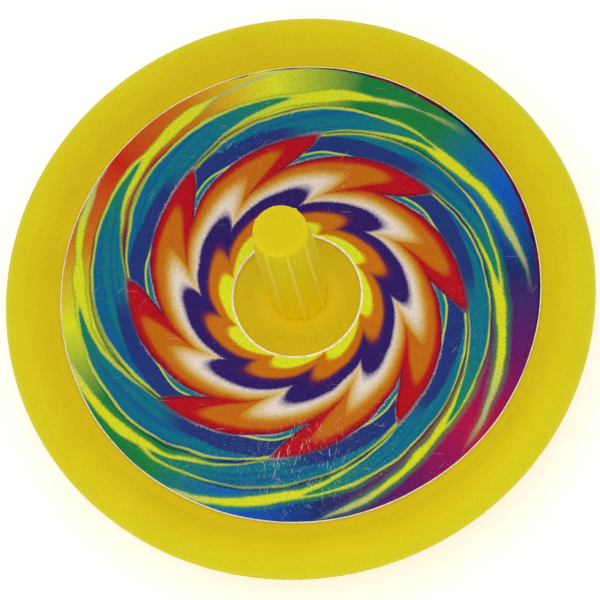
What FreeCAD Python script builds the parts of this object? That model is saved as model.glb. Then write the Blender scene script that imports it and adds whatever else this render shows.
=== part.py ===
"""Finger spinning top: a moulded disc, a ribbed spindle pressed through it, and a round printed label.

Millimetres. The origin is the point that the top spins on, and +Z runs up the spin axis to the grip.
"""

import FreeCAD, Part
import math
import os

# Overall size
TOP_DIAMETER = 57.0  # across the rim
SEAT_Z = 12.0  # flat upper face that carries the label, above the spinning point
STEM_HEIGHT = 17.9  # grip above that face

# Disc: a thin web inside a thick round-edged rim, with a boss below for the spindle
WEB_THICKNESS = 1.8
RECESS_RADIUS = 24.1  # where the flat face meets the inner slope of the rim
RIM_RISE = 1.15  # rim crest above the flat face
RIM_EDGE_RADIUS = 1.75  # full round at the outer edge
CREST_RADIUS = 26.1  # start of the rim's level crest
CREST_BLEND_RADIUS = 1.6  # rounding between slope and crest
UNDERSIDE_RADIUS = 24.6  # where the lower face of the web meets the rim
BOSS_RADIUS = 4.4
BOSS_DEPTH = 3.6  # below the web
BOSS_DRAFT_DEG = 2.0
BOSS_FILLET = 0.9
BOSS_EDGE_ROUND = 0.35
EJECTOR_MARKS = 4
EJECTOR_MARK_RADIUS = 1.6
EJECTOR_MARK_DEPTH = 0.12
EJECTOR_MARK_CIRCLE = 15.5

# Spindle: ribbed grip above the disc, plain shank through it, cone and ball point below
SHANK_RADIUS = 2.2
GRIP_CORE_RADIUS = 2.66  # between the ribs, and the end face
RIB_COUNT = 8
RIB_HEIGHT = 0.2
RIB_WIDTH = 0.55
RIB_END_DROP = 0.5  # from the end of the grip down to where the ribs' sloping ends begin
RIB_END_SLOPE_DEG = 20.0  # below level
GRIP_END_ROUND = 0.4
POINT_RADIUS = 0.8
POINT_HALF_ANGLE_DEG = 26.0

# Label: a ring of three layers, from the disc upwards
LABEL_OUTER_RADIUS = 23.2
LABEL_HOLE_RADIUS = 6.15
ADHESIVE_THICKNESS = 0.03
PAPER_THICKNESS = 0.12
FILM_THICKNESS = 0.03

OUTER_RADIUS = TOP_DIAMETER / 2


def point(radius, z):
    """A point of a turned outline, in the XZ plane."""
    return FreeCAD.Vector(radius, 0, z)


def line(start, end):
    return Part.LineSegment(start, end).toShape()


def arc(start, middle, end):
    return Part.Arc(start, middle, end).toShape()


def arc_about(centre, radius, start_deg, end_deg):
    """An arc of a turned outline, its angles measured from the outward direction towards +Z."""

    def at(degrees):
        turn = math.radians(degrees)
        return centre + FreeCAD.Vector(radius * math.cos(turn), 0, radius * math.sin(turn))

    return arc(at(start_deg), at((start_deg + end_deg) / 2), at(end_deg))


def turned(edges):
    """The solid swept by a closed outline about the spin axis."""
    face = Part.Face(Part.Wire(Part.__sortEdges__(edges)))
    return face.revolve(FreeCAD.Vector(0, 0, 0), FreeCAD.Vector(0, 0, 1), 360)


def rim_outline():
    """The rim from the flat face, over the crest and round the edge, to the lower face of the web.

    Returns its edges. The inner slope meets the flat face in a crease and is rounded at the crest.
    """
    crest_z = SEAT_Z + RIM_RISE
    edge_centre = point(OUTER_RADIUS - RIM_EDGE_RADIUS, crest_z - RIM_EDGE_RADIUS)
    foot = point(RECESS_RADIUS, SEAT_Z)
    slope = math.atan2(RIM_RISE, CREST_RADIUS - RECESS_RADIUS)
    blend_length = CREST_BLEND_RADIUS * math.tan(slope / 2)
    corner = point(CREST_RADIUS, crest_z)
    slope_end = corner - FreeCAD.Vector(math.cos(slope), 0, math.sin(slope)) * blend_length
    crest_start = corner + FreeCAD.Vector(blend_length, 0, 0)
    blend_centre = crest_start - FreeCAD.Vector(0, 0, CREST_BLEND_RADIUS)
    edge_top = edge_centre + FreeCAD.Vector(0, 0, RIM_EDGE_RADIUS)
    edge_bottom = edge_centre - FreeCAD.Vector(0, 0, RIM_EDGE_RADIUS)
    web_corner = point(UNDERSIDE_RADIUS, SEAT_Z - WEB_THICKNESS)
    return [
        line(foot, slope_end),
        arc_about(blend_centre, CREST_BLEND_RADIUS, 90 + math.degrees(slope), 90),
        line(crest_start, edge_top),
        arc_about(edge_centre, RIM_EDGE_RADIUS, 90, -90),
        line(edge_bottom, web_corner),
    ]


def disc():
    """Web, rim and boss as one moulding, with the spindle's bore and the ejector marks below."""
    web_z = SEAT_Z - WEB_THICKNESS
    boss_z = web_z - BOSS_DEPTH
    boss_end_radius = BOSS_RADIUS - BOSS_DEPTH * math.tan(math.radians(BOSS_DRAFT_DEG))
    fillet_radius = BOSS_RADIUS + BOSS_FILLET
    fillet_centre = point(fillet_radius, web_z - BOSS_FILLET)
    round_centre = point(boss_end_radius - BOSS_EDGE_ROUND, boss_z + BOSS_EDGE_ROUND)
    wall_top = point(BOSS_RADIUS, web_z - BOSS_FILLET)
    wall_end = point(boss_end_radius, boss_z + BOSS_EDGE_ROUND)
    body = turned(
        [
            line(point(SHANK_RADIUS, SEAT_Z), point(RECESS_RADIUS, SEAT_Z)),
            *rim_outline(),
            line(point(UNDERSIDE_RADIUS, web_z), point(fillet_radius, web_z)),
            arc_about(fillet_centre, BOSS_FILLET, 90, 180),
            line(wall_top, wall_end),
            arc_about(round_centre, BOSS_EDGE_ROUND, 0, -90),
            line(point(boss_end_radius - BOSS_EDGE_ROUND, boss_z), point(SHANK_RADIUS, boss_z)),
            line(point(SHANK_RADIUS, boss_z), point(SHANK_RADIUS, SEAT_Z)),
        ]
    )
    for index in range(EJECTOR_MARKS):
        turn = 2 * math.pi * (index + 0.5) / EJECTOR_MARKS
        centre = FreeCAD.Vector(
            EJECTOR_MARK_CIRCLE * math.cos(turn),
            EJECTOR_MARK_CIRCLE * math.sin(turn),
            web_z,
        )
        body = body.cut(Part.makeCylinder(EJECTOR_MARK_RADIUS, EJECTOR_MARK_DEPTH, centre))
    return body


def grip_section():
    """The closed outline of the ribbed grip at its foot: a rib's arc, then the core's, in turn."""

    def at(radius, turn):
        return FreeCAD.Vector(radius * math.cos(turn), radius * math.sin(turn), SEAT_Z)

    half_rib = math.asin(RIB_WIDTH / 2 / GRIP_CORE_RADIUS)
    pitch = 2 * math.pi / RIB_COUNT
    edges = []
    for index in range(RIB_COUNT):
        turn = pitch * index
        rib_start = at(GRIP_CORE_RADIUS, turn - half_rib)
        rib_end = at(GRIP_CORE_RADIUS, turn + half_rib)
        next_rib = at(GRIP_CORE_RADIUS, turn + pitch - half_rib)
        edges.append(arc(rib_start, at(GRIP_CORE_RADIUS + RIB_HEIGHT, turn), rib_end))
        edges.append(arc(rib_end, at(GRIP_CORE_RADIUS, turn + pitch / 2), next_rib))
    return Part.Wire(edges)


def grip():
    """The ribbed grip, its end face level and round-edged, with the ribs sloping off just below it."""
    end_z = SEAT_Z + STEM_HEIGHT
    ribbed = Part.Face(grip_section()).extrude(FreeCAD.Vector(0, 0, STEM_HEIGHT))
    clear_radius = GRIP_CORE_RADIUS + 2 * RIB_HEIGHT  # outside the ribs
    slope_top_z = end_z - RIB_END_DROP
    slope_fall = (clear_radius - GRIP_CORE_RADIUS) * math.tan(math.radians(RIB_END_SLOPE_DEG))
    slope_foot_z = slope_top_z - slope_fall
    round_centre = point(GRIP_CORE_RADIUS - GRIP_END_ROUND, end_z - GRIP_END_ROUND)
    envelope = turned(
        [
            line(point(0, SEAT_Z), point(clear_radius, SEAT_Z)),
            line(point(clear_radius, SEAT_Z), point(clear_radius, slope_foot_z)),
            line(point(clear_radius, slope_foot_z), point(GRIP_CORE_RADIUS, slope_top_z)),
            line(point(GRIP_CORE_RADIUS, slope_top_z), point(GRIP_CORE_RADIUS, end_z - GRIP_END_ROUND)),
            arc_about(round_centre, GRIP_END_ROUND, 0, 90),
            line(point(GRIP_CORE_RADIUS - GRIP_END_ROUND, end_z), point(0, end_z)),
            line(point(0, end_z), point(0, SEAT_Z)),
        ]
    )
    return ribbed.common(envelope)


def shank():
    """The plain lower part of the spindle, from the disc's upper face down to the ball point."""
    half_angle = math.radians(POINT_HALF_ANGLE_DEG)
    ball_edge = point(POINT_RADIUS * math.cos(half_angle), POINT_RADIUS * (1 - math.sin(half_angle)))
    cone_top_z = ball_edge.z + (SHANK_RADIUS - ball_edge.x) / math.tan(half_angle)
    return turned(
        [
            arc_about(point(0, POINT_RADIUS), POINT_RADIUS, -90, -POINT_HALF_ANGLE_DEG),
            line(ball_edge, point(SHANK_RADIUS, cone_top_z)),
            line(point(SHANK_RADIUS, cone_top_z), point(SHANK_RADIUS, SEAT_Z)),
            line(point(SHANK_RADIUS, SEAT_Z), point(0, SEAT_Z)),
            line(point(0, SEAT_Z), point(0, 0)),
        ]
    )


def spindle():
    """Grip, shank and point in one piece. The grip's lower end is a shoulder on the disc."""
    return shank().fuse(grip()).removeSplitter()


def label_layer(bottom_z, thickness):
    """One flat ring of the label."""
    base = FreeCAD.Vector(0, 0, bottom_z)
    ring = Part.makeCylinder(LABEL_OUTER_RADIUS, thickness, base)
    return ring.cut(Part.makeCylinder(LABEL_HOLE_RADIUS, thickness, base))


def label_layers():
    """The label's layers by name, each lying on the one before."""
    layers = {}
    bottom_z = SEAT_Z
    for name, thickness in (
        ("label_adhesive", ADHESIVE_THICKNESS),
        ("label_paper", PAPER_THICKNESS),
        ("label_film", FILM_THICKNESS),
    ):
        layers[name] = label_layer(bottom_z, thickness)
        bottom_z += thickness
    return layers


def solid_of(shape):
    """The one solid that a boolean result holds."""
    (solid,) = shape.Solids
    return solid


nodes = {"disc": disc(), "spindle": spindle(), **label_layers()}
os.makedirs("parts", exist_ok=True)
for name, shape in nodes.items():
    solid = solid_of(shape)
    box = solid.BoundBox
    print(f"{name}: valid {solid.isValid()}, {solid.Volume:.1f} mm3, z {box.ZMin:.2f} to {box.ZMax:.2f}")
    solid.exportStep(f"parts/{name}.step")
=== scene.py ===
"""Looks of the finger spinning top: two yellow mouldings and a round label printed with a swirl."""

import math

import bpy
from mathutils import Matrix, Vector, noise


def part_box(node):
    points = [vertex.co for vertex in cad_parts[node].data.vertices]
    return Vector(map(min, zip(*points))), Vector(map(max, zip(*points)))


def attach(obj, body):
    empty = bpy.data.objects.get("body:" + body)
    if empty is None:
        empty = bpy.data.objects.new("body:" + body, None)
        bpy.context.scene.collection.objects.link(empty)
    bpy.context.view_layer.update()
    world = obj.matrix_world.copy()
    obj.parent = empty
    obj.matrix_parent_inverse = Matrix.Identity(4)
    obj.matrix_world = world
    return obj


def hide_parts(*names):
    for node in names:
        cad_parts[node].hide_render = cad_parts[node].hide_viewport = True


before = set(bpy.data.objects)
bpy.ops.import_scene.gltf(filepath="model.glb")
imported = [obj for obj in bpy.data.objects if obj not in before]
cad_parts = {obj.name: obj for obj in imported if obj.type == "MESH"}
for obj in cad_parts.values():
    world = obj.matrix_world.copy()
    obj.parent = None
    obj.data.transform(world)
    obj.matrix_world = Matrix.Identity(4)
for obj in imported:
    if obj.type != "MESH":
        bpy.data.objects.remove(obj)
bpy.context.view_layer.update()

MM = 0.001
FULL_TURN = 2 * math.pi

# Places that the CAD model fixes
disc_low, disc_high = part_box("disc")
spindle_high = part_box("spindle")[1]
adhesive_low, adhesive_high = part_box("label_adhesive")
film_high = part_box("label_film")[1]
OUTER_RADIUS = disc_high.x
RIM_TOP_Z = disc_high.z
BOSS_END_Z = disc_low.z
SEAT_Z = adhesive_low.z
ADHESIVE_TOP_Z = adhesive_high.z
LABEL_TOP_Z = film_high.z
GRIP_END_Z = spindle_high.z

# Disc section
WEB_THICKNESS = 1.8 * MM
RECESS_RADIUS = 24.1 * MM
RECESS_CREASE_ROUND = 0.5 * MM
DOME_RADIUS = 25.3 * MM  # where the rim's inner slope eases off, on its way up to the crest
DOME_RISE = 0.8 * MM
DOME_ROUND = 3.0 * MM
CREST_RADIUS = 26.4 * MM
CREST_ROUND = 2.2 * MM
RIM_EDGE_RADIUS = 1.75 * MM
PARTING_LINE_HEIGHT = 0.02 * MM
PARTING_LINE_HALF_WIDTH = 0.07 * MM
PARTING_LINE_DEPTH = 0.1 * MM  # it lies on the part of the rim that is this close to its widest ring
UNDERSIDE_RADIUS = 24.6 * MM
UNDERSIDE_SLOPE_WIDTH = 1.2 * MM
UNDERSIDE_ROUND = 0.6 * MM
BOSS_RADIUS = 4.4 * MM
BOSS_END_RADIUS = 4.27 * MM
BOSS_FILLET = 0.9 * MM
BOSS_EDGE_ROUND = 0.35 * MM
EJECTOR_MARKS = 4
EJECTOR_MARK_RADIUS = 1.6 * MM
EJECTOR_MARK_DEPTH = 0.12 * MM
EJECTOR_MARK_CIRCLE = 15.5 * MM
EJECTOR_MARK_WALL = 0.12 * MM
WEB_RIPPLE = 0.012 * MM  # how uneven the moulded faces are
WEB_RIPPLE_WIDTH = 7 * MM
DISC_SEGMENTS = 512
DISC_SPAN = 0.3 * MM  # longest stretch of the outline between two rings of vertices
DISC_ARC_STEPS = 14
SHARP_EDGE = math.radians(50)

# Spindle
SHANK_RADIUS = 2.2 * MM
POINT_RADIUS = 0.8 * MM
POINT_HALF_ANGLE = math.radians(26)
CONE_TOP_ROUND = 0.3 * MM
GRIP_CORE_RADIUS = 2.66 * MM
GRIP_FOOT_SINK = 0.03 * MM  # the grip is pressed this far into the disc
GRIP_SHOULDER_DROP = 1.0 * MM  # where the grip begins to draw in towards its end
GRIP_SHOULDER_ROUND = 0.8 * MM
GRIP_END_DROP = 0.25 * MM  # where it turns over into the end face
GRIP_END_INSET = 0.04 * MM
GRIP_END_ROUND = 0.4 * MM
END_FACE_INSET = 0.3 * MM
END_FACE_ROUND = 0.3 * MM
SPINDLE_SEGMENTS = 384
SPINDLE_SPAN = 0.12 * MM
SPINDLE_ARC_STEPS = 8
BALL_STEPS = 10
RIB_COUNT = 8
RIB_HEIGHT = 0.2 * MM
RIB_WIDTH = 0.55 * MM
RIB_TURN = math.radians(-1.6)
RIB_END_DROP = 0.5 * MM  # from the end of the grip down to the tips of the ribs
RIB_END_LENGTH = 0.3 * MM  # over which a rib rises from its tip
RIB_SHARPNESS = 1.4
RIBBED_FROM = 0.97  # share of the core's radius outside which the grip is ribbed

# Label, stuck on a little off centre and cut a little unevenly
LABEL_RADIUS = 23.22 * MM
LABEL_CENTRE = Vector((0.15, 0.06)) * MM
HOLE_RADIUS = 6.15 * MM
HOLE_CENTRE = Vector((-0.22, -0.18)) * MM
PRINT_CENTRE = Vector((-0.33, -0.12)) * MM
OUTER_BARE_EDGE = 0.09 * MM
HOLE_BARE_EDGE = 0.2 * MM
CUT_UNEVENNESS = 0.07 * MM
LABEL_RIPPLE = 0.008 * MM
LABEL_RIPPLE_WIDTH = 4 * MM
LABEL_SEGMENTS = 512
LABEL_SHARP_EDGE = math.radians(40)
PRINTED_RINGS = 24
FIRST_PRINTED_ROW = 2  # after the outer wall and the outer strip of bare paper
ADHESIVE_OVERHANG = 0.02 * MM
SCUFF_CENTRE = Vector((-4.8, -16.6)) * MM
SCUFF_RADIUS = 7.0 * MM

# Plastic, from its even colour to the marks that lie over it and the painted light and shade
PLASTIC_HUES = {
    "even": (213, 196, 10),
    "flow mark": (208, 189, 7),
    "cloud": (218, 202, 20),
    # painted shade over the web and up the rim's inner slope
    "crease_shade": (207, 176, 2),
    # painted shade on the hub round the foot of the grip
    "hub": (203, 170, 1),
    # darker uneven patches on the hub
    "hub dark patches": (184, 148, 4),
    # painted light low on the grip, where light gathers between grip and disc
    "grip foot glow": (240, 205, 4),
    # painted highlight along the ribs' crests
    "rib highlight": (226, 204, 92),
    # painted light coming through the thin outer edge
    "outer edge": (210, 201, 16),
    "grain": (186, 160, 2),
    "speck": (120, 96, 12),
}

# View
CAMERA_ELEVATION = math.radians(69.8)
CAMERA_ROLL = math.radians(17.0)
CAMERA_DISTANCE = 0.7
SENSOR_WIDTH = 36.0
FRAME_FILL = 0.9886  # the rim's radius over half the picture's width
TARGET_RIGHT = 0.09 * MM
TARGET_DOWN = 0.607 * MM

# Studio, with a floor in metres, a lamp in watts and a sky whose strength varies
FLOOR_HALF_WIDTH = 3.0
KEY_DIRECTION = (-0.05, -0.44, 1.0)
KEY_DISTANCE = 0.14
KEY_SIZE = 0.12
KEY_POWER = 0.068
HORIZON_LIGHT = 0.93
OVERHEAD_LOSS = 0.15
FAR_SIDE_GAIN = 0.19

# Swirl: eight like arms. Angles are in degrees and radii are shares of the label's radius.
ARMS = 8
ARM_PITCH = 360 / ARMS
PRINT_BORDER = 1.004  # where a dark border begins, nearly all of it cut away
BORDER_INKS = (96, 0, 30), (18, 16, 60)

# Ring of inks at the edge, evenly spaced
EDGE_INKS = {
    "blue": (0, 84, 180),
    "green": (18, 118, 54),
    "yellow": (208, 212, 30),
    "orange": (196, 108, 8),
    "red": (190, 28, 8),
    "navy": (16, 38, 100),
    "purple": (96, 12, 92),
    "crimson": (168, 0, 62),
}
EDGE_ORDER = (
    "blue green green yellow orange red orange yellow "
    "green green blue navy purple crimson purple navy"
).split()
EDGE_START_ANGLE = 12.0

# Streaks, each of which splits round a leaf
STREAK_INKS = {
    "yellow": (206, 209, 22),
    "olive": (112, 150, 40),
    "pale": (172, 178, 116),
    "teal": (0, 108, 126),
    "blue": (0, 66, 142),
    "green": (24, 128, 64),
    "navy": (27, 48, 114),
    "lime": (178, 196, 58),
    "dark": (10, 34, 62),
}
LEAF_ANGLE = 27.5
LEAF_RADIUS = 0.88
LEAF_TOP_SLOPE = 0.0006
LEAF_TOP_SAG = 0.0000184
LEAF_BOTTOM_SLOPE = 0.0042
LEAF_TIP_ROUNDING = 0.014
STREAK_TAPER_ANGLE = 32.0
STREAK_TOP_RISE = 0.0026  # per degree before the leaf
STREAK_BOTTOM_RISE = 0.0036
NAVY_RADIUS = 0.752  # where the navy end of a leaf begins, one arm along
NAVY_SLOPE = 0.0011
COMB_TWIST = 5.3  # radians per label radius: how the fine strokes along the streaks lean
STREAK_DRIFT = 0.03  # how far off centre the streaks are drawn
STREAK_DRIFT_ANGLE = 165.0
WARM_ANGLE = 120.0  # the middle of the side with the warm inks, where the streaks have no green flanks

# Waves of the middle part, from the outermost inwards. Change is how wide the change is from the ink
# at a wave's edge to its ink, and tip_fuzz is how much softer the edge is near the tip.
WAVE_LEAN = 20.0
WAVE_SLOPE = 0.0024
WAVE_SAG = 0.000022
WAVE_FRONT_SHARE = 0.75  # of the way round the arc from a wave's front: how far that is straight across
WAVES = (
    {
        "tip_angle": 20.0,
        "tip_radius": 0.720,
        "curl": 190.0,
        "rounding": 0.030,
        "ink": (174, 0, 20),
        "edge_ink": (104, 0, 40),
        "change": 0.024,
        "softness": 0.004,
        "tip_fuzz": 0.010,
    },
    {
        "tip_angle": 32.0,
        "tip_radius": 0.664,
        "curl": 205.0,
        "rounding": 0.055,
        "ink": (188, 100, 0),
        "edge_ink": (174, 22, 6),
        "change": 0.024,
        "softness": 0.005,
        "tip_fuzz": 0.006,
    },
    {
        "tip_angle": 50.0,
        "tip_radius": 0.572,
        "curl": 120.0,
        "rounding": 0.065,
        "ink": (222, 210, 196),
        "edge_ink": (200, 158, 52),
        "change": 0.048,
        "softness": 0.014,
        "tip_fuzz": 0.006,
    },
    {
        "tip_angle": 63.0,
        "tip_radius": 0.494,
        "curl": 100.0,
        "rounding": 0.100,
        "ink": (42, 20, 96),
        "edge_ink": (104, 70, 136),
        "change": 0.009,
        "softness": 0.006,
        "tip_fuzz": 0.010,
    },
    {
        "tip_angle": 79.5,
        "tip_radius": 0.412,
        "curl": 60.0,
        "rounding": 0.100,
        "ink": (194, 108, 0),
        "edge_ink": (110, 26, 56),
        "change": 0.020,
        "softness": 0.007,
        "tip_fuzz": 0.004,
    },
    {
        "tip_angle": 95.0,
        "tip_radius": 0.338,
        "curl": 40.0,
        "rounding": 0.090,
        "ink": (214, 219, 24),
        "edge_ink": (206, 176, 12),
        "change": 0.008,
        "softness": 0.004,
        "tip_fuzz": 0.003,
    },
)
OUTLINE_INK = (230, 190, 198)


# ---------------------------------------------------------------- meshes


def rounded_outline(corners, arc_steps):
    """Points of an open outline through corners (radius, z, rounding): each rounding becomes an arc."""
    points = []
    for index, (radius, z, rounding) in enumerate(corners):
        here = Vector((radius, z))
        if rounding == 0 or index in (0, len(corners) - 1):
            points.append(here)
            continue
        towards_before = (Vector(corners[index - 1][:2]) - here).normalized()
        towards_after = (Vector(corners[index + 1][:2]) - here).normalized()
        half_corner = towards_before.angle(towards_after) / 2
        centre = here + (towards_before + towards_after).normalized() * rounding / math.sin(half_corner)
        tangent_length = rounding / math.tan(half_corner)
        start = here + towards_before * tangent_length - centre
        end = here + towards_after * tangent_length - centre
        turned_by = start.angle(end)
        for step in range(arc_steps + 1):
            share = step / arc_steps
            weight_start = math.sin((1 - share) * turned_by) / math.sin(turned_by)
            weight_end = math.sin(share * turned_by) / math.sin(turned_by)
            points.append(centre + start * weight_start + end * weight_end)
    return points


def subdivided(points, longest):
    """The same outline with no span longer than the given length."""
    dense = []
    for start, end in zip(points, points[1:]):
        spans = max(1, math.ceil((end - start).length / longest))
        dense.extend(start.lerp(end, span / spans) for span in range(spans))
    dense.append(points[-1])
    return dense


def new_object(name, vertices, faces, sharp_from=None):
    """A smooth-shaded mesh object, creased where its faces turn by more than an angle."""
    mesh = bpy.data.meshes.new(name)
    mesh.from_pydata(vertices, [], faces)
    mesh.validate()
    mesh.shade_smooth()
    if sharp_from is not None:
        mesh.set_sharp_from_angle(angle=sharp_from)
    piece = bpy.data.objects.new(name, mesh)
    bpy.context.scene.collection.objects.link(piece)
    return piece


def lathe(name, outline, segments, shape, sharp_from=None):
    """A closed turned mesh. The outline runs from axis to axis, or back to its first point round a bore.

    shape(radius, z, angle) says where a point of the outline lies at one angle.
    """
    vertices = []
    rows = []
    for point in outline:
        if point.x < 1e-9:
            rows.append([len(vertices)])
            vertices.append((0, 0, point.y))
            continue
        rows.append(list(range(len(vertices), len(vertices) + segments)))
        for segment in range(segments):
            angle = FULL_TURN * segment / segments
            vertices.append(shape(point.x, point.y, angle))
    pairs = list(zip(rows, rows[1:]))
    if outline[0].x > 0:
        pairs.append((rows[-1], rows[0]))
    faces = []
    for lower, upper in pairs:
        for segment in range(segments):
            following = (segment + 1) % segments
            if len(lower) == 1:
                faces.append((lower[0], upper[following], upper[segment]))
            elif len(upper) == 1:
                faces.append((lower[segment], lower[following], upper[0]))
            else:
                faces.append((lower[segment], lower[following], upper[following], upper[segment]))
    return new_object(name, vertices, faces, sharp_from)


def smooth_share(value, low, high):
    """0 below low, 1 above high and a smooth step between them."""
    share = min(1.0, max(0.0, (value - low) / (high - low)))
    return share * share * (3 - 2 * share)


def build_disc():
    """Web, rim and boss, with a faint parting line round the rim and ejector marks below."""
    web_bottom = SEAT_Z - WEB_THICKNESS
    rim_bottom = RIM_TOP_Z - 2 * RIM_EDGE_RADIUS
    rim_middle = RIM_TOP_Z - RIM_EDGE_RADIUS
    edge_round = RIM_EDGE_RADIUS * 0.999  # just short of a half circle, so that two corners fit
    corners = [
        (SHANK_RADIUS, SEAT_Z, 0),
        (RECESS_RADIUS, SEAT_Z, RECESS_CREASE_ROUND),
        (DOME_RADIUS, SEAT_Z + DOME_RISE, DOME_ROUND),
        (CREST_RADIUS, RIM_TOP_Z, CREST_ROUND),
        (OUTER_RADIUS, RIM_TOP_Z, edge_round),
        (OUTER_RADIUS, rim_bottom, edge_round),
        (UNDERSIDE_RADIUS + UNDERSIDE_SLOPE_WIDTH, rim_bottom, UNDERSIDE_ROUND),
        (UNDERSIDE_RADIUS, web_bottom, UNDERSIDE_ROUND),
        (BOSS_RADIUS, web_bottom, BOSS_FILLET),
        (BOSS_END_RADIUS, BOSS_END_Z, BOSS_EDGE_ROUND),
        (SHANK_RADIUS, BOSS_END_Z, 0),
    ]
    outline = subdivided(rounded_outline(corners, DISC_ARC_STEPS), DISC_SPAN)

    def shape(radius, z, angle):
        across = radius * math.cos(angle)
        along = radius * math.sin(angle)
        from_parting = abs(z - rim_middle) / PARTING_LINE_HALF_WIDTH
        if radius > OUTER_RADIUS - PARTING_LINE_DEPTH and from_parting < 1:
            radius += PARTING_LINE_HEIGHT * (1 - from_parting)
        if z > rim_middle:
            swell = noise.noise(Vector((across, along, 0)) / WEB_RIPPLE_WIDTH)
            z += WEB_RIPPLE * swell * smooth_share(radius, SHANK_RADIUS, 2 * SHANK_RADIUS)
        elif abs(z - web_bottom) < 0.02 * MM:
            for index in range(EJECTOR_MARKS):
                mark_angle = FULL_TURN * (index + 0.5) / EJECTOR_MARKS
                mark_across = EJECTOR_MARK_CIRCLE * math.cos(mark_angle)
                mark_along = EJECTOR_MARK_CIRCLE * math.sin(mark_angle)
                from_mark = math.hypot(across - mark_across, along - mark_along)
                wall_foot = EJECTOR_MARK_RADIUS - EJECTOR_MARK_WALL
                outside = smooth_share(from_mark, wall_foot, EJECTOR_MARK_RADIUS)
                z += EJECTOR_MARK_DEPTH * (1 - outside)
        return radius * math.cos(angle), radius * math.sin(angle), z

    return lathe("disc_moulding", outline[::-1], DISC_SEGMENTS, shape, SHARP_EDGE)


def build_spindle():
    """Ball point, shank and ribbed grip."""
    pitch = FULL_TURN / RIB_COUNT
    ball_edge = POINT_RADIUS * math.cos(POINT_HALF_ANGLE)
    ball_edge_z = POINT_RADIUS * (1 - math.sin(POINT_HALF_ANGLE))
    cone_top_z = ball_edge_z + (SHANK_RADIUS - ball_edge) / math.tan(POINT_HALF_ANGLE)
    ball = []
    for step in range(BALL_STEPS + 1):
        turn = (math.pi / 2 - POINT_HALF_ANGLE) * step / BALL_STEPS
        ball.append(Vector((POINT_RADIUS * math.sin(turn), POINT_RADIUS * (1 - math.cos(turn)))))
    corners = [
        (ball[-1].x, ball[-1].y, 0),
        (SHANK_RADIUS, cone_top_z, CONE_TOP_ROUND),
        (SHANK_RADIUS, SEAT_Z - GRIP_FOOT_SINK, 0),
        (GRIP_CORE_RADIUS, SEAT_Z - GRIP_FOOT_SINK, 0),
        (GRIP_CORE_RADIUS, GRIP_END_Z - GRIP_SHOULDER_DROP, GRIP_SHOULDER_ROUND),
        (GRIP_CORE_RADIUS - GRIP_END_INSET, GRIP_END_Z - GRIP_END_DROP, GRIP_END_ROUND),
        (GRIP_CORE_RADIUS - END_FACE_INSET, GRIP_END_Z, END_FACE_ROUND),
        (0, GRIP_END_Z, 0),
    ]
    outline = ball[:-1] + subdivided(rounded_outline(corners, SPINDLE_ARC_STEPS), SPINDLE_SPAN)

    def shape(radius, z, angle):
        if z > SEAT_Z and radius > GRIP_CORE_RADIUS * RIBBED_FROM:
            off_rib = (angle - RIB_TURN + pitch / 2) % pitch - pitch / 2
            across = abs(off_rib * radius) / (RIB_WIDTH / 2)
            bump = max(0.0, 1 - across**2) ** RIB_SHARPNESS
            from_end = GRIP_END_Z - RIB_END_DROP - z
            radius += RIB_HEIGHT * bump * smooth_share(from_end, 0, RIB_END_LENGTH)
        return radius * math.cos(angle), radius * math.sin(angle), z

    return lathe("spindle_moulding", outline, SPINDLE_SEGMENTS, shape, SHARP_EDGE)


def cut_edge(angle, seed):
    """How far a cut edge strays from its circle at one angle."""
    around = Vector((math.cos(angle), math.sin(angle), seed))
    slow = noise.noise(around * 2.2)
    fine = noise.noise(around * 9.0 + Vector((5, 3, 1)))
    return CUT_UNEVENNESS * (slow + 0.35 * fine)


def label_ring(name, bottom_z, top_z, inset):
    """A ring with the label's outline, thinner by inset at both edges.

    Round from the outer edge, its rows of faces are the outer wall, a strip of bare paper, the printed
    rings, the other bare strip, the wall of the hole and the lower face.
    """
    width = LABEL_RADIUS - HOLE_RADIUS
    bare_hole = HOLE_BARE_EDGE / width
    bare_outer = (width - OUTER_BARE_EDGE) / width
    shares = [0.0, bare_hole]
    for ring in range(1, PRINTED_RINGS + 1):
        shares.append(bare_hole + (bare_outer - bare_hole) * ring / PRINTED_RINGS)
    shares.append(1.0)
    rows = [(1.0, bottom_z), *((share, top_z) for share in reversed(shares)), (0.0, bottom_z)]
    vertices = []
    for share, z in rows:
        for segment in range(LABEL_SEGMENTS):
            angle = FULL_TURN * segment / LABEL_SEGMENTS
            direction = Vector((math.cos(angle), math.sin(angle)))
            outer = LABEL_CENTRE + direction * (LABEL_RADIUS - inset + cut_edge(angle, 0))
            inner = HOLE_CENTRE + direction * (HOLE_RADIUS + inset + cut_edge(angle, 4) * 0.6)
            place = inner.lerp(outer, share)
            height = z
            if z == top_z:
                wander = 0.5 * math.sin(share * math.pi) ** 0.2
                ripple = noise.noise(Vector((place.x, place.y, 0)) / LABEL_RIPPLE_WIDTH)
                height += LABEL_RIPPLE * ripple * wander
            vertices.append((place.x, place.y, height))
    faces = []
    for row in range(len(rows)):
        here = row * LABEL_SEGMENTS
        below = (row + 1) % len(rows) * LABEL_SEGMENTS
        for segment in range(LABEL_SEGMENTS):
            following = (segment + 1) % LABEL_SEGMENTS
            faces.append((here + segment, here + following, below + following, below + segment))
    return new_object(name, vertices, faces, LABEL_SHARP_EDGE)


def build_label():
    """The paper with its film: material 0 on the printed rows, and 1 on the bare ones."""
    label = label_ring("printed_label", ADHESIVE_TOP_Z, LABEL_TOP_Z, 0)
    for polygon in label.data.polygons:
        row = polygon.index // LABEL_SEGMENTS
        printed = FIRST_PRINTED_ROW <= row < FIRST_PRINTED_ROW + PRINTED_RINGS
        polygon.material_index = 0 if printed else 1
    return label


def build_adhesive():
    return label_ring("label_adhesive_ring", SEAT_Z, ADHESIVE_TOP_Z, -ADHESIVE_OVERHANG)


# ---------------------------------------------------------------- shader arithmetic


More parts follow.
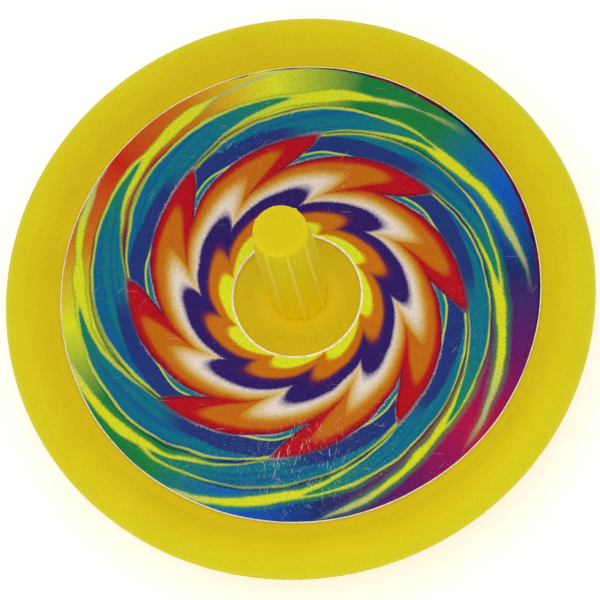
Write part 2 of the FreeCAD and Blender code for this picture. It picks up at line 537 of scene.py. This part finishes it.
class Field:
    """A value that varies over a surface: a shader node's output, with ordinary arithmetic."""

    def __init__(self, socket):
        self.socket = socket

    def __add__(self, other):
        return computed("ADD", self, other)

    def __radd__(self, other):
        return computed("ADD", other, self)

    def __sub__(self, other):
        return computed("SUBTRACT", self, other)

    def __rsub__(self, other):
        return computed("SUBTRACT", other, self)

    def __mul__(self, other):
        return computed("MULTIPLY", self, other)

    def __rmul__(self, other):
        return computed("MULTIPLY", other, self)

    def __truediv__(self, other):
        return computed("DIVIDE", self, other)

    def __neg__(self):
        return computed("MULTIPLY", self, -1.0)


def supply(node_input, value):
    """Link a field to a node's input, or set the input to a plain number or colour."""
    if isinstance(value, Field):
        node_input.id_data.links.new(value.socket, node_input)
    elif isinstance(value, tuple):
        node_input.default_value = (*value, 1.0)
    else:
        node_input.default_value = value


def computed(operation, *values):
    """A field from one arithmetic node."""
    tree = next(value.socket.id_data for value in values if isinstance(value, Field))
    node = tree.nodes.new("ShaderNodeMath")
    node.operation = operation
    for node_input, value in zip(node.inputs, values):
        supply(node_input, value)
    return Field(node.outputs[0])


def stepped(value, low, high):
    """0 where a field is below low, 1 where it is above high, and smooth between them."""
    node = value.socket.id_data.nodes.new("ShaderNodeMapRange")
    node.interpolation_type = "SMOOTHSTEP"
    supply(node.inputs["Value"], value)
    supply(node.inputs["From Min"], low)
    supply(node.inputs["From Max"], high)
    return Field(node.outputs["Result"])


def mixed(first, second, share):
    """A colour between two colours."""
    node = share.socket.id_data.nodes.new("ShaderNodeMix")
    node.data_type = "RGBA"
    supply(node.inputs["Factor"], share)
    colour_inputs = [socket for socket in node.inputs if socket.type == "RGBA"]
    for colour_input, colour in zip(colour_inputs, (first, second)):
        supply(colour_input, colour)
    return Field(next(socket for socket in node.outputs if socket.type == "RGBA"))


def grain(tree, place, size, detail=2.0):
    """Noise from 0 to 1 over a place in millimetres, with patches of about the given size."""
    node = tree.nodes.new("ShaderNodeTexNoise")
    node.inputs["Scale"].default_value = 1 / size
    node.inputs["Detail"].default_value = detail
    tree.links.new(place.socket, node.inputs["Vector"])
    return Field(node.outputs["Fac"])


def combined(x, y, z):
    """A vector from its three parts."""
    node = x.socket.id_data.nodes.new("ShaderNodeCombineXYZ")
    for node_input, value in zip(node.inputs, (x, y, z)):
        supply(node_input, value)
    return Field(node.outputs[0])


def separated(tree, vector_socket):
    """The three parts of a vector."""
    parts = tree.nodes.new("ShaderNodeSeparateXYZ")
    tree.links.new(vector_socket, parts.inputs[0])
    return [Field(part) for part in parts.outputs]


def millimetres(tree):
    """The place on the object in millimetres."""
    coordinates = tree.nodes.new("ShaderNodeTexCoord")
    scaled = tree.nodes.new("ShaderNodeVectorMath")
    scaled.operation = "SCALE"
    scaled.inputs["Scale"].default_value = 1 / MM
    tree.links.new(coordinates.outputs["Object"], scaled.inputs[0])
    return Field(scaled.outputs[0])


def cosine_from(angle, middle):
    """1 at one angle in degrees, falling to -1 on the side away from it."""
    return computed("COSINE", (angle - middle) * math.radians(1))


def linear(red, green, blue):
    """Scene colour of a display colour given from 0 to 255."""
    colour = []
    for part in (red, green, blue):
        share = part / 255
        colour.append(((share + 0.055) / 1.055) ** 2.4 if part > 10 else share / 12.92)
    return tuple(colour)


def new_material(name):
    material = bpy.data.materials.new(name)
    material.use_nodes = True
    return material, material.node_tree, material.node_tree.nodes["Principled BSDF"]


def add_bump(tree, shader, height, depth):
    """Relief of a field from 0 to 1, the given depth in metres."""
    bump = tree.nodes.new("ShaderNodeBump")
    bump.inputs["Distance"].default_value = depth
    supply(bump.inputs["Height"], height)
    tree.links.new(bump.outputs[0], shader.inputs["Normal"])


# ---------------------------------------------------------------- materials


def yellow_plastic():
    """Satin yellow plastic, a little translucent, with moulded grain, faint flow marks and dark specks.

    Painted shade makes its hue deeper on the hub and over the web up the rim's inner slope. Painted light
    makes it greener at the thin outer edge, lighter low on the grip, where light gathers between grip and
    disc, and paler along the upper part of the ribs' crests.
    """
    material, tree, shader = new_material("yellow_plastic")
    place = millimetres(tree)
    x, y, z = separated(tree, place.socket)
    flow = grain(tree, place, 9.0, 1.0)
    cloud = grain(tree, place, 1.6, 3.0)
    fine = grain(tree, place, 0.16, 2.0)
    speck = grain(tree, place, 0.5, 1.0)

    seat = SEAT_Z / MM
    from_axis = computed("SQRT", x * x + y * y)
    outward = stepped(from_axis, 22.5, 27.5)
    # Painted shade: the web and the rim's inner slope are drawn darker, fading out over the rim.
    crease_shade = stepped(from_axis, 3.0, 6.0) * (1 - outward)
    # Painted shade on the hub round the foot of the grip.
    hub = (1 - stepped(from_axis, 4.0, 9.0)) * (1 - stepped(z, seat, seat + 0.1))
    # Painted light low on the grip, fading upwards.
    grip_foot_glow = (1 - stepped(from_axis, 2.7, 5.0)) * stepped(z, seat - 0.1, seat)
    grip_foot_glow = grip_foot_glow * (1 - stepped(z, seat, seat + 15.0))
    grip_foot_glow = grip_foot_glow * (0.45 + 0.55 * stepped(z, seat, seat + 0.1))
    # Painted highlight: the ribs' crests are drawn paler, more so higher up the grip.
    rib_crest = stepped(from_axis, 2.69, 2.80) * (1 - stepped(from_axis, 2.9, 3.0))
    rib_highlight = rib_crest * stepped(z, seat + 1.0, seat + 7.0)

    layers = {
        "flow mark": stepped(flow, 0.3, 0.7),
        "cloud": stepped(cloud, 0.5, 0.8) * 0.35,
        "crease_shade": crease_shade * 0.6,
        "hub": hub * 0.7,
        # darker uneven patches, drawn only where the hub is shaded
        "hub dark patches": hub * stepped(cloud, 0.50, 0.72) * 0.3,
        "grip foot glow": grip_foot_glow,
        "rib highlight": rib_highlight * 0.36,
        # painted light coming through the thin outer edge
        "outer edge": stepped(from_axis, 26.0, 28.6) * 0.8,
        "grain": stepped(fine, 0.40, 0.75) * 0.32,
        "speck": stepped(speck, 0.80, 0.86) * 0.5,
    }
    colour = linear(*PLASTIC_HUES["even"])
    for name, share in layers.items():
        colour = mixed(colour, linear(*PLASTIC_HUES[name]), share)
    supply(shader.inputs["Base Color"], colour)
    supply(shader.inputs["Roughness"], 0.48 + 0.12 * fine + 0.06 * cloud)
    shader.inputs["Subsurface Weight"].default_value = 0.4
    shader.inputs["Subsurface Radius"].default_value = (1.0, 0.8, 0.1)
    shader.inputs["Subsurface Scale"].default_value = 1.0 * MM
    shader.inputs["Specular IOR Level"].default_value = 0.1
    add_bump(tree, shader, fine * 0.6 + cloud * 0.4, 0.006 * MM)
    return material


def swirl_wave(angle, radius, wave):
    """One colour's edge: a leaning wave, once per arm.

    Gives how far inside it a place is, how far below its upper edge, both in label radii, and how
    many degrees past its tip.
    """
    tip_radius = wave["tip_radius"]
    depth = computed("MAXIMUM", 1 - radius / tip_radius, 0.0)
    front = depth * (WAVE_LEAN + wave["curl"] * depth)
    past = computed("FLOORED_MODULO", angle - wave["tip_angle"] - front, ARM_PITCH)
    along = past + front
    below = tip_radius - tip_radius * along * (WAVE_SLOPE + WAVE_SAG * along) - radius
    behind = past * radius * (math.radians(1) * WAVE_FRONT_SHARE)
    further = along + ARM_PITCH
    below_previous = tip_radius - tip_radius * further * (WAVE_SLOPE + WAVE_SAG * further) - radius
    inside = computed("SMOOTH_MIN", behind, below, wave["rounding"])
    return computed("MAXIMUM", inside, below_previous), below, along


def edge_ring(tree, angle):
    """Evenly spaced inks that blend into each other round the edge of the print."""
    ramp = tree.nodes.new("ShaderNodeValToRGB")
    stops = ramp.color_ramp.elements
    while len(stops) < len(EDGE_ORDER) + 1:
        stops.new(0.5)
    for index, name in enumerate(EDGE_ORDER + EDGE_ORDER[:1]):
        stops[index].position = index / len(EDGE_ORDER)
        stops[index].color = (*linear(*EDGE_INKS[name]), 1)
    around = computed("FLOORED_MODULO", angle - EDGE_START_ANGLE, 360.0) / 360.0
    supply(ramp.inputs[0], around)
    return Field(ramp.outputs[0])


def with_streaks(colour, angle, radius, bristle, comb, swell):
    """The outer part of the swirl: yellow streaks that split round teal leaves with navy ends.

    Bristle roughens the edges, comb is the fine strokes along the streaks, and swell varies the width.
    """
    ink = {name: linear(*display) for name, display in STREAK_INKS.items()}
    outer_part = stepped(radius, 0.72, 0.86)
    radius = radius - cosine_from(angle, STREAK_DRIFT_ANGLE) * STREAK_DRIFT * outer_part
    warm = stepped(cosine_from(angle, WARM_ANGLE), -0.1, 0.5)
    first = computed("FLOORED_MODULO", angle - LEAF_ANGLE, ARM_PITCH)
    for arm in (-1, 0, 1, 2):
        along = first + arm * ARM_PITCH
        before = computed("MAXIMUM", -along, 0.0)
        after = computed("MAXIMUM", along, 0.0)
        taper = computed("MAXIMUM", 1 - after / STREAK_TAPER_ANGLE, 0.0)

        leaf_top = LEAF_RADIUS - after * (LEAF_TOP_SLOPE + LEAF_TOP_SAG * after)
        leaf_top = leaf_top + STREAK_TOP_RISE * before
        leaf_bottom = LEAF_RADIUS - LEAF_BOTTOM_SLOPE * after
        streak_top = leaf_top + 0.005 + 0.009 * taper
        streak_bottom = leaf_bottom - 0.006 - 0.031 * taper * taper + STREAK_BOTTOM_RISE * before
        streak = computed("MINIMUM", streak_top - radius, radius - streak_bottom) + swell * 0.05

        flank = stepped(streak + bristle, -0.030, -0.006)
        flank = flank * stepped(along, -46.0, -16.0) * (1 - stepped(along, 12.0, 40.0))
        colour = mixed(colour, ink["green"], flank * (1 - warm) * 0.6)
        strength = stepped(streak + bristle * 0.8, -0.008, 0.005)
        strength = strength * stepped(along, -46.0, -30.0) * (1 - stepped(along, 66.0, 92.0))
        body = mixed(ink["olive"], ink["yellow"], stepped(streak + bristle, -0.004, 0.010))
        body = mixed(body, ink["pale"], stepped(before, 16.0, 34.0))
        colour = mixed(colour, body, strength)
        if arm < 0:
            continue

        leaf = computed("SMOOTH_MIN", leaf_top - radius, radius - leaf_bottom, LEAF_TIP_ROUNDING)
        drawn = stepped(along, 1.0, 5.0)
        shade = stepped(leaf + 0.019, 0.000, 0.005) * stepped(along, 14.0, 26.0)
        colour = mixed(colour, ink["dark"], shade * 0.7)
        line = stepped(leaf + 0.010 + swell * 0.03 + bristle * 0.5, -0.003, 0.005) * drawn
        colour = mixed(colour, ink["lime"], line * (0.45 + 0.55 * stepped(comb, 0.40, 0.55)))
        navy_end = NAVY_RADIUS - NAVY_SLOPE * (along - ARM_PITCH) - radius
        navy_end = stepped(navy_end + bristle, -0.006, 0.006) * stepped(along, 40.0, 52.0)
        body = mixed(ink["teal"], ink["blue"], stepped(comb, 0.46, 0.64) * 0.6)
        body = mixed(body, ink["green"], (1 - stepped(along, 4.0, 30.0)) * 0.85)
        body = mixed(body, ink["navy"], navy_end)
        colour = mixed(colour, body, stepped(leaf + bristle * 0.5, -0.003, 0.005) * drawn)
    return colour


def with_gap(colour, slow, bristle, inside, below, along):
    """What shows just outside the outermost wave: teal, a lime line in it, and a pale outline."""
    gap = below + 0.030 * stepped(along, 30.0, 48.0)
    colour = mixed(colour, linear(*STREAK_INKS["teal"]), stepped(gap + bristle, -0.003, 0.003))
    line = stepped(gap, -0.003, 0.002) * (1 - stepped(gap, 0.005, 0.010))
    line = line * stepped(along, 30.0, 36.0) * (1 - stepped(along, 50.0, 58.0))
    colour = mixed(colour, linear(*STREAK_INKS["lime"]), line)
    outline = stepped(inside + 0.005 + bristle * 1.8, -0.001, 0.003) * stepped(slow, -0.15, 0.1)
    return mixed(colour, linear(*OUTLINE_INK), outline * 0.6)


def swirl_ink(tree, place):
    """The printed swirl: nested waves of eight arms inside streaks over a ring of rainbow inks."""
    x, y = separated(tree, place.socket)[:2]
    x = x - PRINT_CENTRE.x / MM
    y = y - PRINT_CENTRE.y / MM
    turn = computed("ARCTAN2", y, x)
    radius = computed("SQRT", x * x + y * y) / (LABEL_RADIUS / MM)
    cosine = computed("COSINE", turn)
    sine = computed("SINE", turn)
    along_arcs = grain(tree, combined(cosine * 85.0, sine * 85.0, radius * 16.0), 1.0, 1.0) - 0.5
    bristle = along_arcs * 0.006 + (grain(tree, place, 0.16, 1.0) - 0.5) * 0.012
    slow = grain(tree, place, 6.0, 1.0) - 0.5
    angle = turn * math.degrees(1) + slow * 3.0
    radius = radius + (grain(tree, place, 3.5, 1.0) - 0.5) * 0.02
    comb_turn = angle * math.radians(1) + radius * COMB_TWIST
    comb_cosine = computed("COSINE", comb_turn)
    comb_sine = computed("SINE", comb_turn)
    comb = grain(tree, combined(comb_cosine * 14.0, comb_sine * 14.0, radius * 2.0), 1.6, 1.0)

    colour = with_streaks(edge_ring(tree, angle), angle, radius, bristle, comb, slow)
    for wave in WAVES:
        inside, below, along = swirl_wave(angle, radius, wave)
        if wave is WAVES[0]:
            colour = with_gap(colour, slow, bristle, inside, below, along)
        near_tip = 1 - stepped(wave["tip_radius"] - radius, 0.0, 0.08)
        fuzz = wave["softness"] + wave["tip_fuzz"] * near_tip
        shade = stepped(inside, 0.0, wave["change"])
        body = mixed(linear(*wave["edge_ink"]), linear(*wave["ink"]), shade)
        colour = mixed(colour, body, stepped(inside + bristle, -1 * fuzz, fuzz))
    first_border, second_border = BORDER_INKS
    border = mixed(linear(*first_border), linear(*second_border), stepped(slow, -0.1, 0.1))
    in_border = stepped(radius + bristle * 0.3, PRINT_BORDER - 0.003, PRINT_BORDER + 0.003)
    return mixed(colour, border, in_border)


def strokes(tree, place, direction_deg, length, width, threshold):
    """Short thin strokes that run in one direction, the fewer the higher the threshold."""
    turned = tree.nodes.new("ShaderNodeMapping")
    turned.vector_type = "TEXTURE"
    turned.inputs["Rotation"].default_value = (0, 0, math.radians(direction_deg))
    turned.inputs["Scale"].default_value = (length, width, 1.0)
    tree.links.new(place.socket, turned.inputs["Vector"])
    return stepped(grain(tree, Field(turned.outputs[0]), 1.0, 1.0), threshold, threshold + 0.05)


def scratches(tree, place):
    """Fine bright scratches and specks in the film, thick in one scuffed place and thin elsewhere."""
    x, y = separated(tree, place.socket)[:2]
    across = x - SCUFF_CENTRE.x / MM
    along = y - SCUFF_CENTRE.y / MM
    from_scuff = computed("SQRT", across * across + along * along)
    scuffed = 1 - stepped(from_scuff, 1.5, SCUFF_RADIUS / MM)
    patches = stepped(grain(tree, place, 8.0, 1.0), 0.50, 0.72)
    long_scratches = strokes(tree, place, 35.0, 3.0, 0.16, 0.75)
    crossing_scratches = strokes(tree, place, 160.0, 2.6, 0.15, 0.75)
    marks = computed("MAXIMUM", long_scratches, crossing_scratches) * (0.12 + 0.5 * patches)
    for direction_deg, threshold in ((58.0, 0.675), (75.0, 0.70), (118.0, 0.69)):
        scuffs = strokes(tree, place, direction_deg, 1.3, 0.10, threshold) * scuffed
        marks = computed("MAXIMUM", marks, scuffs * 0.55)
    specks = stepped(grain(tree, place, 0.12, 1.0), 0.66, 0.78)
    return marks, specks * (0.2 + 0.8 * computed("MAXIMUM", patches, scuffed))


def printed_paper():
    """The print under a clear satin film with fine scratches."""
    material, tree, shader = new_material("printed_paper")
    place = millimetres(tree)
    marks, specks = scratches(tree, place)
    fibre = grain(tree, place, 0.12, 2.0)
    mottle = stepped(grain(tree, place, 0.13, 2.0), 0.42, 0.75)
    dark = linear(20, 14, 30)
    bright = linear(225, 225, 220)
    colour = mixed(swirl_ink(tree, place), dark, mottle * 0.26)
    colour = mixed(colour, bright, computed("MAXIMUM", marks, specks * 0.34))
    supply(shader.inputs["Base Color"], colour)
    supply(shader.inputs["Roughness"], 0.34 + 0.25 * marks + 0.08 * fibre)
    shader.inputs["Specular IOR Level"].default_value = 0.08
    add_bump(tree, shader, fibre * 0.5 - marks, 0.004 * MM)
    return material


def bare_paper():
    """The white cut edge of the paper, slightly frayed and stained by ink."""
    material, tree, shader = new_material("bare_paper")
    place = millimetres(tree)
    fray = grain(tree, place, 0.25, 3.0)
    stain = grain(tree, place, 2.5, 2.0)
    clean = linear(238, 228, 196)
    frayed = linear(220, 196, 130)
    stained = linear(206, 160, 110)
    colour = mixed(clean, frayed, stepped(fray, 0.4, 0.75))
    colour = mixed(colour, stained, stepped(stain, 0.5, 0.7) * 0.5)
    supply(shader.inputs["Base Color"], colour)
    supply(shader.inputs["Roughness"], 0.75 + 0.2 * fray)
    add_bump(tree, shader, fray, 0.01 * MM)
    return material


def adhesive():
    """Dry yellowish adhesive with a little dust in it."""
    material, tree, shader = new_material("adhesive")
    dust = grain(tree, millimetres(tree), 0.3, 3.0)
    clean = linear(214, 196, 120)
    dusty = linear(170, 150, 90)
    supply(shader.inputs["Base Color"], mixed(clean, dusty, stepped(dust, 0.5, 0.75)))
    supply(shader.inputs["Roughness"], 0.45 + 0.3 * dust)
    add_bump(tree, shader, dust, 0.008 * MM)
    return material


def floor_material():
    """A pale matt floor with a little light of its own, which keeps it white under soft light."""
    material, tree, shader = new_material("floor")
    mottle = grain(tree, millimetres(tree), 40.0, 2.0)
    supply(shader.inputs["Base Color"], mixed((0.88, 0.88, 0.88), (0.9, 0.9, 0.9), mottle))
    shader.inputs["Roughness"].default_value = 0.95
    shader.inputs["Specular IOR Level"].default_value = 0.1
    shader.inputs["Emission Color"].default_value = (1, 1, 1, 1)
    shader.inputs["Emission Strength"].default_value = 0.3
    return material


# ---------------------------------------------------------------- studio


def add_camera():
    """A long lens that looks down on the top, rolled a little about its own axis."""
    forward = Vector((0, math.cos(CAMERA_ELEVATION), -math.sin(CAMERA_ELEVATION)))
    level_right = Vector((1, 0, 0))
    level_up = Vector((0, math.sin(CAMERA_ELEVATION), math.cos(CAMERA_ELEVATION)))
    right = level_right * math.cos(CAMERA_ROLL) - level_up * math.sin(CAMERA_ROLL)
    up = level_right * math.sin(CAMERA_ROLL) + level_up * math.cos(CAMERA_ROLL)
    target = Vector((0, 0, SEAT_Z)) + right * TARGET_RIGHT - up * TARGET_DOWN
    camera = bpy.data.objects.new("camera", bpy.data.cameras.new("camera"))
    camera.data.sensor_width = SENSOR_WIDTH
    camera.data.lens = SENSOR_WIDTH / 2 * CAMERA_DISTANCE * FRAME_FILL / OUTER_RADIUS
    camera.data.clip_start = 0.01
    turn = Matrix((right, up, -forward)).transposed()
    camera.matrix_world = Matrix.Translation(target - forward * CAMERA_DISTANCE) @ turn.to_4x4()
    bpy.context.scene.collection.objects.link(camera)
    bpy.context.scene.camera = camera


def add_floor():
    half = FLOOR_HALF_WIDTH
    corners = [(-half, -half, 0), (half, -half, 0), (half, half, 0), (-half, half, 0)]
    floor = new_object("floor", corners, [(0, 1, 2, 3)])
    floor.data.materials.append(floor_material())


def add_key_light():
    """A soft round lamp close above the top, on the camera's side."""
    light = bpy.data.lights.new("key", "AREA")
    light.shape = "DISK"
    light.size = KEY_SIZE
    light.energy = KEY_POWER
    lamp = bpy.data.objects.new("key", light)
    away = Vector(KEY_DIRECTION).normalized()
    lamp.location = Vector((0, 0, SEAT_Z)) + away * KEY_DISTANCE
    lamp.rotation_euler = (-away).to_track_quat("-Z", "Y").to_euler()
    bpy.context.scene.collection.objects.link(lamp)


def add_world():
    """A white studio, brighter near the horizon than overhead, and brighter behind than in front."""
    world = bpy.data.worlds.new("studio")
    world.use_nodes = True
    tree = world.node_tree
    coordinates = tree.nodes.new("ShaderNodeTexCoord")
    far, up = separated(tree, coordinates.outputs["Generated"])[1:]
    background = tree.nodes["Background"]
    background.inputs["Color"].default_value = (1, 1, 1, 1)
    strength = HORIZON_LIGHT - OVERHEAD_LOSS * stepped(up, 0.0, 1.0) + FAR_SIDE_GAIN * far
    supply(background.inputs["Strength"], strength)
    bpy.context.scene.world = world


def finish_piece(piece, slot, replaced, *materials):
    """Give a piece its materials, put it under the root body and hide the CAD nodes it stands for; the
    slot is not used.
    """
    for material in materials:
        piece.data.materials.append(material)
    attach(piece, "root")
    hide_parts(*replaced)


bpy.context.scene.view_settings.view_transform = "Standard"
plastic = yellow_plastic()
finish_piece(build_disc(), "yellow_plastic", ["disc"], plastic)
finish_piece(build_spindle(), "yellow_plastic", ["spindle"], plastic)
finish_piece(build_adhesive(), "adhesive", ["label_adhesive"], adhesive())
finish_piece(build_label(), "printed_paper", ["label_paper", "label_film"], printed_paper(), bare_paper())
add_floor()
add_camera()
add_world()
add_key_light()
